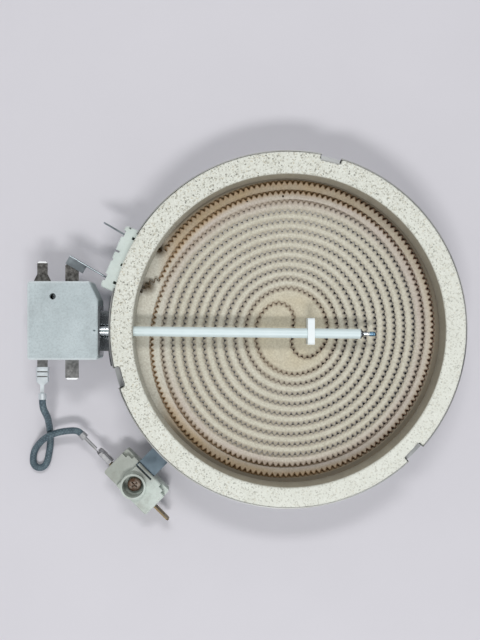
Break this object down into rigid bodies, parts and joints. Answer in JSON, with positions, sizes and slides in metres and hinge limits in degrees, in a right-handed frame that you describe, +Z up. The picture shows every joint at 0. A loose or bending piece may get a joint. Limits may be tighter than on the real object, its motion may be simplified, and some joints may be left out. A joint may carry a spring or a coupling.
{
  "type": "radiant hob heater",
  "caption": "Round radiant heater for a glass-ceramic hob: steel pan, insulating rim and base, corrugated ribbon, rod temperature limiter, terminal blocks and a lead.",
  "frame": {"origin": "centre of the pan's flat underside", "axes": "+Z up towards the hob's glass, -X along the limiter's rod towards its head, +Y completes the frame"},
  "size_m": [0.2096, 0.1762, 0.03],
  "materials": {
    "pan_steel": "aluminised, satin",
    "base_fibre": "moulded fibre, matt",
    "vermiculite": "pressed granules, matt, speckled",
    "ribbon_alloy": "oxidised, matt",
    "rod_ceramic": "fired, matt",
    "head_ceramic": "fired, satin",
    "block_ceramic": "fired, satin",
    "bracket_steel": "plated, satin",
    "rod_metal": "heat tinted, satin",
    "plated_tab": "nickel plated, satin",
    "spring_steel": "satin",
    "contact_silver": "polished",
    "plunger_ceramic": "fired, satin",
    "brass_strip": "tarnished",
    "screw_steel": "rusty",
    "tinned_brass": "tinned, satin",
    "lead_sleeve": "woven sleeve over silicone, matt"
  },
  "bodies": {
    "heater": {"pan": "pan_steel", "base_insulation": "base_fibre", "rim_ring": "vermiculite", "heating_ribbon": "ribbon_alloy", "rod_support": "rod_ceramic", "limiter_tube": "rod_ceramic", "limiter_base": "head_ceramic", "limiter_cover": "head_ceramic", "terminal_block": "block_ceramic", "connector_block": "block_ceramic", "limiter_bracket": "bracket_steel", "connector_bracket": "bracket_steel", "rod_collar": "bracket_steel", "bracket_rivet_upper": "bracket_steel", "bracket_rivet_lower": "bracket_steel", "connector_rivet_left": "bracket_steel", "connector_rivet_right": "bracket_steel", "limiter_rod": "rod_metal", "rod_end_washer": "rod_metal", "rod_end_tip": "rod_metal", "power_tab_upper": "plated_tab", "power_tab_lower": "plated_tab", "signal_tab_upper": "plated_tab", "signal_tab_lower": "plated_tab", "supply_blade": "plated_tab", "link_strip": "plated_tab", "power_contact_fixed": "contact_silver", "signal_contact_fixed": "contact_silver", "connector_strip": "brass_strip", "connector_screw": "screw_steel", "limiter_receptacle": "tinned_brass", "connector_receptacle": "tinned_brass", "signal_lead": "lead_sleeve"},
    "plunger": {"plunger": "plunger_ceramic"},
    "power_spring": {"power_spring": "spring_steel", "power_contact_moving": "contact_silver"},
    "signal_spring": {"signal_spring": "spring_steel", "signal_contact_moving": "contact_silver"},
    "adjusting_screw": {"adjusting_screw": "screw_steel"}
  },
  "joints": [
    {"name": "plunger_slide", "type": "slide", "parent": "heater", "child": "plunger", "axis": [-1, 0, 0], "range_m": [0, 0.0008], "stiffness_N_per_m": 60},
    {"name": "power_spring_flex", "type": "hinge", "parent": "heater", "child": "power_spring", "pos_m": [-0.1018, 0.0169, 0.0225], "axis": [0, 0, -1], "range_deg": [0, 2.65]},
    {"name": "signal_spring_flex", "type": "hinge", "parent": "heater", "child": "signal_spring", "pos_m": [-0.1136, 0.0169, 0.0225], "axis": [0, 0, -1], "range_deg": [0, 2.65]},
    {"name": "adjusting_screw_turn", "type": "hinge", "parent": "heater", "child": "adjusting_screw", "pos_m": [-0.1094, 0.0154, 0.02], "axis": [0, 0, 1], "range_deg": [-180, 180]}
  ],
  "couplings": [
    {"joint": "power_spring_flex", "follows": "plunger_slide", "rad_per_m": 56.818},
    {"joint": "signal_spring_flex", "follows": "plunger_slide", "rad_per_m": 56.818}
  ]
}
